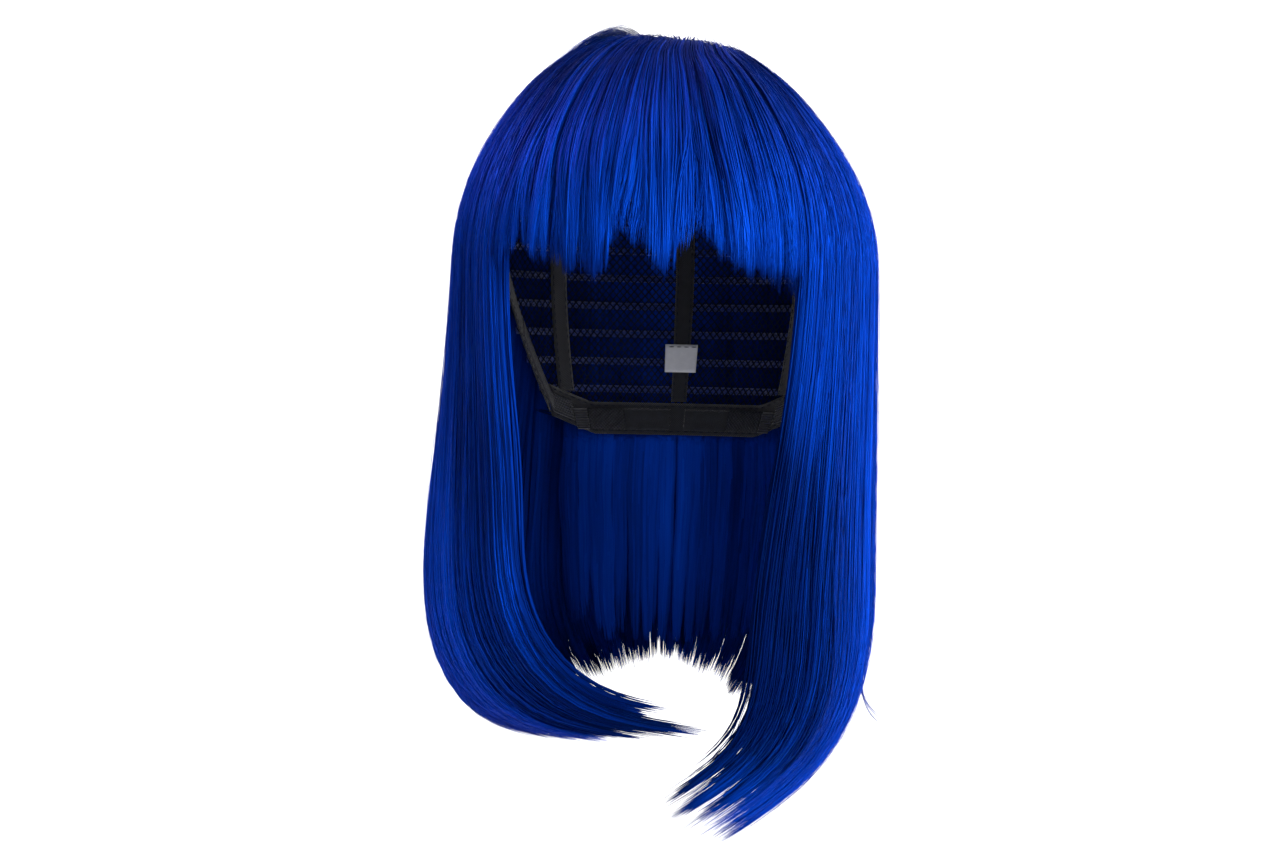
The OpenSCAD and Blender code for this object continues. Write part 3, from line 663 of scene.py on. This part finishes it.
def sheet_mesh(name, place, layers, sides=(6, 6), ring=False):
    """A closed sheet with rounded edges. place(across, layer) gives a grid of points, across rows first.

    across runs -1 to 1; sides are the powers that round the long edges and the ends. A ring's last column
    is joined to its first.
    """
    across = np.linspace(-1, 1, 9)
    low, high = layers
    grid = place(across[:, None], (low + high) / 2)
    rows, columns = grid.shape[:2]
    ends = np.linspace(-1, 1, columns)
    thin = 0 * ends if ring else 0.8 * np.abs(ends) ** sides[1]
    swell = np.sqrt((1 - 0.8 * np.abs(across[:, None]) ** sides[0]) * (1 - thin[None, :]))
    half = (high - low) / 2 * swell
    outer = place(across[:, None], (low + high) / 2 + half)
    inner = place(across[:, None], (low + high) / 2 - half)
    index = np.arange(rows * columns).reshape(rows, columns)
    count = rows * columns
    if ring:
        index[:, -1] = index[:, 0]
        loops = [index[0, :-1], index[-1, :0:-1]]
    else:
        loops = [np.concatenate([index[0, :-1], index[:-1, -1], index[-1, :0:-1], index[:0:-1, 0]])]
    a, b, c, d = index[:-1, :-1], index[:-1, 1:], index[1:, 1:], index[1:, :-1]
    faces = [np.stack([a, b, c, d], -1).reshape(-1, 4), np.stack([d, c, b, a], -1).reshape(-1, 4) + count]
    for loop in loops:
        after = np.roll(loop, -1)
        faces.append(np.stack([after, loop, loop + count, after + count], -1))
    faces = np.concatenate(faces)
    points = np.concatenate([outer.reshape(-1, 3), inner.reshape(-1, 3)])
    first = points[faces[0]]
    if np.dot(np.cross(first[1] - first[0], first[2] - first[0]), (outer - inner)[0, 0]) < 0:
        faces = faces[:, ::-1]
    along = np.linalg.norm(np.diff(grid, axis=1), axis=-1)[rows // 2].cumsum()
    wide = np.linalg.norm(np.diff(grid, axis=0), axis=-1)[:, columns // 2].cumsum()
    cloth = np.stack(np.broadcast_arrays(np.concatenate([[0], along])[None, :],
                                         np.concatenate([[0], wide])[:, None], 0.0), axis=-1).reshape(-1, 3)
    used, faces = np.unique(faces, return_inverse=True)
    mesh = bpy.data.meshes.new(name)
    mesh.from_pydata((points[used] * MM).tolist(), [], faces.reshape(-1, 4).tolist())
    mesh.shade_smooth()
    mesh.attributes.new("cloth", "FLOAT_VECTOR", "POINT").data.foreach_set(
        "vector", np.concatenate([cloth, cloth])[used].astype(np.float32).ravel())
    return mesh

def strip(azimuths, tops, bottoms):
    """Places of a strip that runs round the head; azimuths, tops and bottoms are one value a column."""
    azimuths, tops, bottoms = (np.asarray(values, float)[None, :] for values in (azimuths, tops, bottoms))

    def place(across, layer):
        return on_head(azimuths, (tops + bottoms) / 2 + (bottoms - tops) / 2 * across, layer)
    return place

def cap_sheet(node, place, layers, material, slot, body="cap", **more):
    """A sewn sheet that stands in for one CAD node."""
    name = node + "_sewn"
    piece = add_piece(name, sheet_mesh(name, place, layers, **more), material)
    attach(piece, body)
    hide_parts(node)

def stitch_run(t, v, layer, side=1.0, length=2.2, pitch=3.2, zigzag=0.0, lift=0.22):
    """Places and sideways directions of the stitches along a line of azimuths and polar angles.

    side is 1 on a sheet's outer face and -1 on its inner one. length, pitch, zigzag and lift are in mm.
    """
    line = on_head(t, v, layer)
    far = np.concatenate([[0], np.linalg.norm(np.diff(line, axis=0), axis=1).cumsum()])
    starts = np.arange(0.6, far[-1] - length, pitch)
    far_on = starts[:, None] + length * np.linspace(0, 1, 4)[None, :]
    sway = zigzag * (np.arange(len(starts)) % 2 * 2 - 1)[:, None] * np.linspace(-1, 1, 4)[None, :]
    along_t, along_v = np.interp(far_on, far, t), np.interp(far_on, far, v)
    level = on_head(along_t, along_v, layer)
    tangent = np.gradient(level, axis=1)
    out = on_head(along_t, along_v, layer + 1) - level
    out /= np.linalg.norm(out, axis=-1, keepdims=True)
    across = np.cross(out, tangent)
    across /= np.linalg.norm(across, axis=-1, keepdims=True)
    rise = (np.array([-0.15, lift, lift, -0.15]) * side)[None, :, None]
    return level + across * sway[..., None] + out * rise, across * side

def stitching(name, runs, material, body="cap", half_width=0.2, rise=0.22, variety=0.5,
              taper=0.05):
    """Stitches or threads as one piece; variety is how much their tones differ."""
    place, side = (np.concatenate(part) for part in zip(*runs))
    count = len(place)
    tone = np.broadcast_to(RNG.normal(0, variety, count)[:, None], place.shape[:2])
    mesh = strand_mesh(name, place, side, np.full(count, half_width), np.full(count, rise), tone, taper)
    piece = add_piece(name, mesh, material)
    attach(piece, body)
    return piece

# ---- Cap materials ----

def cloth_material(name, color, other, scale, roughness=0.8, strength=0.6, kind="weave", sheen=0.3):
    """Cloth seen close: weave, ribs or pile, with scale in the cloth's own millimetres."""
    material, tree, shader = new_material(name)
    cloth = attribute(tree, "cloth")["Vector"]
    parts = add_node(tree, "SeparateXYZ", {0: cloth})

    def ripple(part):
        turned = calculate(tree, "MULTIPLY", parts[part], 2 * math.pi / scale)
        return calculate(tree, "SINE", turned)

    if kind == "ribs":
        height = ripple("Y")
    elif kind == "pile":
        height = noise(tree, cloth, 1 / scale, 4)
    else:
        height = calculate(tree, "MULTIPLY", ripple("X"), ripple("Y"))
    wear = noise(tree, cloth, 0.35, 5)
    mixed = calculate(tree, "MULTIPLY_ADD", height, 0.3, wear)
    finish_surface(tree, shader, color_ramp(tree, mixed, [(0.25, color), (0.85, other)]), wear,
                   roughness - 0.12, roughness + 0.1, height, strength, 0.0003)
    shader.inputs["Sheen Weight"].default_value = sheen
    shader.inputs["Sheen Roughness"].default_value = 0.4
    return material

THREAD = hair_material("net_thread", [(0.1, (0.003, 0.004, 0.008)), (0.9, (0.012, 0.014, 0.024))], 0.6, 0.0)
STITCH = hair_material("stitch_thread", [(0.1, (0.004, 0.006, 0.014)), (0.9, (0.03, 0.036, 0.06))], 0.5, 0.0)
BLUE_STITCH = hair_material("weft_thread", [(0.1, (0.001, 0.01, 0.1)), (0.9, (0.004, 0.05, 0.36))], 0.5, 0.0)
BAND = cloth_material("band_cloth", (0.006, 0.007, 0.011), (0.022, 0.024, 0.034), 0.9)
ELASTIC = cloth_material("ribbed_elastic", (0.01, 0.011, 0.016), (0.04, 0.043, 0.058), 1.1, 0.7, 0.8, "ribs")
WEFT = cloth_material("weft_tape", (0.0008, 0.012, 0.13), (0.002, 0.04, 0.36), 0.8, 0.65, 0.8)
SKIN = cloth_material("crown_film", (0.5, 0.4, 0.4), (0.64, 0.54, 0.54), 1.6, 0.55, 0.3, "pile", 0.0)
SATIN = cloth_material("label_satin", (0.6, 0.61, 0.66), (0.74, 0.75, 0.79), 0.5, 0.35, 0.3, "ribs")
PILE = cloth_material("loop_pile", (0.003, 0.0035, 0.005), (0.02, 0.022, 0.03), 0.5, 0.95, 1.0, "pile", 0.8)
HOOKS = cloth_material("hook_tape", (0.008, 0.009, 0.012), (0.05, 0.053, 0.062), 1.5, 0.45, 1.0, "weave", 0.0)
STEEL = cloth_material("stay_steel", (0.42, 0.43, 0.45), (0.62, 0.63, 0.65), 0.4, 0.32, 0.15, "pile", 0.0)
STEEL.node_tree.nodes["Principled BSDF"].inputs["Metallic"].default_value = 1.0

# ---- Net ----

NET_PITCH = 2.4  # degrees of azimuth between threads at the hat line
DISC_SEAM = 35  # polar angle of the crown disc's seam
EDGE_INSET = 1.4  # degrees by which the threads end inside the cap's edge
THREAD_LAYER = 0.35

def net_turn(v):
    """Azimuth that a diagonal thread gains on its way down to polar angle v."""
    over = np.degrees(np.log(np.tan(np.radians(np.clip(v, 1, 90) / 2))))
    return over + np.maximum(0, v - 90) * 1.02

def net_threads(lean):
    """Diagonal threads from the crown patch to the cap's edge; every second one starts at the disc's seam."""
    places, sides = [], []
    for k, foot in enumerate(np.arange(0, 360, NET_PITCH)):
        v = np.linspace(PATCH_POLAR - 1 if k % 2 else DISC_SEAM, NAPE_POLAR, 400)
        t = foot + lean * net_turn(v)
        inside = np.concatenate([[False], v <= edge_polar(t) - EDGE_INSET, [False]])
        turns = np.flatnonzero(np.diff(inside.astype(int)))
        for enter, leave in zip(turns[::2], turns[1::2] - 1):
            if leave - enter < 6:
                continue
            part = np.linspace(v[enter], v[leave], 40)
            t = foot + lean * net_turn(part)
            places.append(on_head(t, part, THREAD_LAYER))
            sides.append(on_head(t + 0.5, part, THREAD_LAYER) - on_head(t - 0.5, part, THREAD_LAYER))
    return np.stack(places), np.stack(sides)

net = stitching("stretch_net", [net_threads(lean) for lean in (-1, 1)], THREAD, half_width=0.28,
                rise=0.3, variety=0.6, taper=0.01)
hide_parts("net_crown", "net_front_left", "net_front_right", "net_side_left", "net_side_right",
            "net_back_left", "net_back_right")

# ---- Crown patch, bands, ribs and label ----

PINHOLE = 0.05  # polar angle where the film starts

def patch_place(across, layer):
    """The film as a ring: across -1 is a pinhole at the pole and 1 is the edge."""
    polar = PINHOLE + (PATCH_POLAR - PINHOLE) * (across + 1) / 2
    return on_head(np.linspace(0, 360, 61)[None, :], polar, layer)

cap_sheet("crown_patch", patch_place, (1.0, 1.8), SKIN, "crown_skin", ring=True)

def band(name, first, last, steps, width):
    """A band along the cap's edge, and the two stitch lines that sew it down."""
    azimuths = np.linspace(first, last, steps)
    edges = edge_polar(azimuths) - 0.2
    cap_sheet(name, strip(azimuths, edges - width, edges), BAND_LAYER, BAND, "band_cloth", sides=(6, 40))
    return [stitch_run(azimuths, edges - inset, BAND_LAYER[0], -1) for inset in (1.0, width - 1.0)]

RIB_HALF_WIDTH = 4

def rib(name, azimuth):
    """A rib from the crown patch to the band, and the two stitch lines that sew it down."""
    polars = np.linspace(PATCH_POLAR + 1, edge_polar(azimuth) - BAND_DEGREES - 1.6, 60)
    round_head = np.sin(np.radians(np.minimum(polars, 90))) * HALF_WIDTH
    half_angle = np.degrees(np.arcsin(np.minimum(0.6, RIB_HALF_WIDTH / round_head)))

    def place(across, layer):
        return on_head(azimuth + across * half_angle[None, :], polars[None, :], layer)
    cap_sheet(name, place, RIB_LAYER, BAND, "band_cloth", sides=(6, 60))
    return [stitch_run(azimuth + k * 0.72 * half_angle, polars, RIB_LAYER[0], -1) for k in (-1, 1)]

seams = band("front_band", -57.5, 57.5, 60, BAND_DEGREES)
seams += band("side_band_left", 58, 127.5, 40, BAND_DEGREES)
seams += band("side_band_right", -127.5, -58, 40, BAND_DEGREES)
seams += band("nape_band", 128, 232, 60, BAND_DEGREES + 1)
for rib_name, rib_azimuth in (("front", 0), ("back", 180), ("side_left", 88), ("side_right", -88),
                              ("rear_left", 136), ("rear_right", -136)):
    seams += rib("rib_" + rib_name, rib_azimuth)
stitching("cap_stitching", seams, STITCH)

def care_label():
    """A blank label over the back rib, sewn along its top edge."""
    azimuths = np.linspace(174, 186, 20)
    top, bottom = 112 + 0 * azimuths, 120 + 0 * azimuths
    cap_sheet("care_label", strip(azimuths, top, bottom), PAD_LAYER, SATIN, "label_satin")
    stitching("label_stitching", [stitch_run(azimuths, top + 0.7, PAD_LAYER[0], -1)], STITCH)

care_label()

# ---- Wefts ----

WEFT_ROWS = 15
WEFT_DEGREES = 2

def weft_row(number):
    """A row of weft: a full ring near the crown, and lower down an open one round the back."""
    polar = PATCH_POLAR + 4 + (NAPE_POLAR - 6 - PATCH_POLAR - 4) * (number - 1) / (WEFT_ROWS - 1)
    ring = polar + 4 < edge_polar(0)
    if ring:
        azimuths = np.linspace(-180, 180, 181)
    else:
        whole = np.arange(0, 180)
        start = whole[(edge_polar(whole) > polar + 4) & ((polar < 86) | (whole > 90))].min()
        azimuths = np.linspace(start, 360 - start, 120)
    tops = np.full(len(azimuths), polar)
    cap_sheet(f"weft_row_{number:02d}", strip(azimuths, tops, tops + WEFT_DEGREES), WEFT_LAYER, WEFT,
              "weft_tape", sides=(4, 80), ring=ring)

    def stitches(share, face, side, zigzag):
        return stitch_run(azimuths, tops + WEFT_DEGREES * share, face, side, 1.6, 2.3, zigzag)
    return [stitches(0.3, WEFT_LAYER[0], -1, 0), stitches(0.7, WEFT_LAYER[0], -1, 0),
            stitches(0.5, WEFT_LAYER[1], 1, 0.5)]

weft_seams = [run for number in range(1, WEFT_ROWS + 1) for run in weft_row(number)]
stitching("weft_stitching", weft_seams, BLUE_STITCH, half_width=0.18)

# ---- Ear tabs and nape adjusters, on both sides ----

def on_nape(angle, level, depth):
    """The cone inside the nape that the adjuster tabs slide round; angle is from straight back."""
    radius = NAPE_RADIUS + NAPE_SLOPE * (level - STRAP_LEVEL) - depth
    x, y = radius * np.sin(np.radians(angle)), NAPE_CENTRE + radius * np.cos(np.radians(angle))
    return np.stack(np.broadcast_arrays(x, y, level), axis=-1)

def ear_tab(name, side):
    """A rounded tab with a flexible stay in a sewn casing, and a stitch line round its rim."""
    body = "tab_ear_" + name
    down = np.linspace(0, 1, 24)
    half_angle = EAR_HALF_ANGLE * np.sqrt(np.maximum(0.1, 1 - down ** 3))
    stay_top, stay_degrees = 92, EAR_DEGREES - 4

    def place(across, layer):
        return on_head(side * (EAR_AZIMUTH + across * half_angle[None, :]),
                       90.8 + EAR_DEGREES * down[None, :] + 0 * across, layer)

    def stay(across, layer):
        return on_head(side * (EAR_AZIMUTH + 1.2 * across), stay_top + stay_degrees * down[None, :], layer)

    def stitches(azimuths, share):
        return stitch_run(side * azimuths, stay_top + stay_degrees * share, BAND_LAYER[0], -1)

    cap_sheet("ear_tab_" + name, place, BAND_LAYER, BAND, "band_cloth", body)
    cap_sheet("ear_tab_stay_" + name, stay, PAD_LAYER, STEEL, "stay_wire", body)
    rim = np.linspace(-1, 1, 60)
    runs = [stitches(EAR_AZIMUTH + k * 2.2 + 0 * down, down) for k in (-1, 1)]
    runs.append(stitches(EAR_AZIMUTH + rim * EAR_HALF_ANGLE * 0.82, np.clip(1 - np.abs(rim) ** 4, 0, 1)))
    stitching(f"ear_tab_stitching_{name}", runs, STITCH, body)

def nape_adjuster(name, side):
    """A hook tab on its loop pad, and the elastic strap that joins the tab's sewn end to the side band."""
    tab_end = TAB_START + TAB_ANGLE
    half = STRAP_HEIGHT / 2

    def arc(first, last):
        def place(across, layer):
            angles = np.linspace(first, last, 24)[None, :]
            return on_nape(side * angles, STRAP_LEVEL + half * across + 0 * angles, -layer)
        return place

    cap_sheet("adjuster_tab_" + name, arc(TAB_START, tab_end), (-TAB_THICKNESS, 0), HOOKS, "hook_tape",
              "hook_tab_" + name)
    cap_sheet("adjuster_end_" + name, arc(tab_end + 0.4, tab_end + 5.4), (-TAB_THICKNESS, 0), ELASTIC,
              "elastic", "adjuster_" + name)
    azimuths = side * np.linspace(139, 177, 60)
    middle, pad = STRAP_POLAR + 0 * azimuths, half / DROP_PER_DEGREE
    cap_sheet("loop_pad_" + name, strip(azimuths, middle - pad, middle + pad), PAD_LAYER, PILE, "loop_pile")
    along = np.linspace(0, 1, 40)[None, :]
    run = 118 + 18.2 * along
    level = np.minimum(STRAP_POLAR, edge_polar(run) - BAND_DEGREES / 2)

    def strap(across, layer):
        wide = across * (STRAP_HEIGHT - 1) / 2 / DROP_PER_DEGREE
        return on_head(side * run, level + wide, layer - 2.6 - 1.15 * along)

    node = "adjuster_strap_" + name
    piece = add_piece(node + "_sewn", sheet_mesh(node + "_sewn", strap, (-0.4, 0.4)), ELASTIC)
    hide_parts(node)
    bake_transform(piece)

for side_name, side_sign in (("left", 1), ("right", -1)):
    ear_tab(side_name, side_sign)
    nape_adjuster(side_name, side_sign)

# ---- Stage, light and camera ----

def make_stage():
    """A pale floor that turns up into a backdrop."""
    level, back, bend = CAD_LOW[2] - 0.22, 2.2, 0.9
    profile = [(-6, level)] + [
        (back + bend * math.sin(math.radians(a)), level + bend * (1 - math.cos(math.radians(a))))
        for a in range(0, 91, 6)] + [(back + bend, level + 5)]
    vertices = [(x, y, z) for y, z in profile for x in (-7, 7)]
    faces = [(2 * i, 2 * i + 1, 2 * i + 3, 2 * i + 2) for i in range(len(profile) - 1)]
    mesh = bpy.data.meshes.new("floor")
    mesh.from_pydata(vertices, [], faces)
    mesh.shade_smooth()
    material, _, shader = new_material("pale_floor")
    shader.inputs["Base Color"].default_value = (0.86, 0.86, 0.87, 1)
    shader.inputs["Roughness"].default_value = 0.8
    mesh.materials.append(material)
    floor = bpy.data.objects.new("floor", mesh)
    bpy.context.scene.collection.objects.link(floor)

def add_light(name, place, target, size, power):
    data = bpy.data.lights.new(name, "AREA")
    data.shape = "DISK"
    data.size = size
    data.energy = power
    light = bpy.data.objects.new(name, data)
    light.location = place
    light.rotation_mode = "QUATERNION"
    light.rotation_quaternion = (Vector(target) - Vector(place)).to_track_quat("-Z", "Y")
    bpy.context.scene.collection.objects.link(light)

def make_light():
    world = bpy.data.worlds.new("studio")
    world.use_nodes = True
    world.node_tree.nodes["Background"].inputs["Color"].default_value = (1, 1, 1, 1)
    world.node_tree.nodes["Background"].inputs["Strength"].default_value = 0.13
    bpy.context.scene.world = world
    middle, crown = (0, 0, -0.06), (0, 0, 0.04)
    add_light("key", (1.75, -1.2, 0.35), middle, 1.1, 60)
    add_light("fill", (0.35, -2.3, -0.02), middle, 1.4, 15.5)
    add_light("crown_left", (-1.3, 0.4, 0.75), crown, 0.7, 11)
    add_light("crown_right", (1.3, 0.4, 0.75), crown, 0.7, 6)
    add_light("backdrop_left", (-1.7, 0.6, 1.7), (-0.6, 3, 0.2), 1.2, 70)
    add_light("backdrop_right", (1.7, 0.6, 1.7), (0.6, 3, 0.2), 1.2, 70)

def make_camera():
    """A long lens at eye height, a little to the wearer's left and leaning slightly."""
    distance, azimuth, height, lean = 1.32, math.radians(6), -0.045, math.radians(1.2)
    target = Vector((-0.0066, -0.01, -0.067))
    place = Vector((math.sin(azimuth) * distance, -math.cos(azimuth) * distance, height))
    data = bpy.data.cameras.new("camera")
    data.sensor_width = 36
    data.lens = 92
    camera = bpy.data.objects.new("camera", data)
    camera.location = place
    camera.rotation_mode = "QUATERNION"
    camera.rotation_quaternion = (target - place).to_track_quat("-Z", "Y")
    camera.rotation_mode = "XYZ"
    camera.rotation_euler.rotate_axis("Z", lean)
    bpy.context.scene.collection.objects.link(camera)
    bpy.context.scene.camera = camera

make_stage()
make_light()
make_camera()
bpy.context.scene.view_settings.view_transform = "Standard"
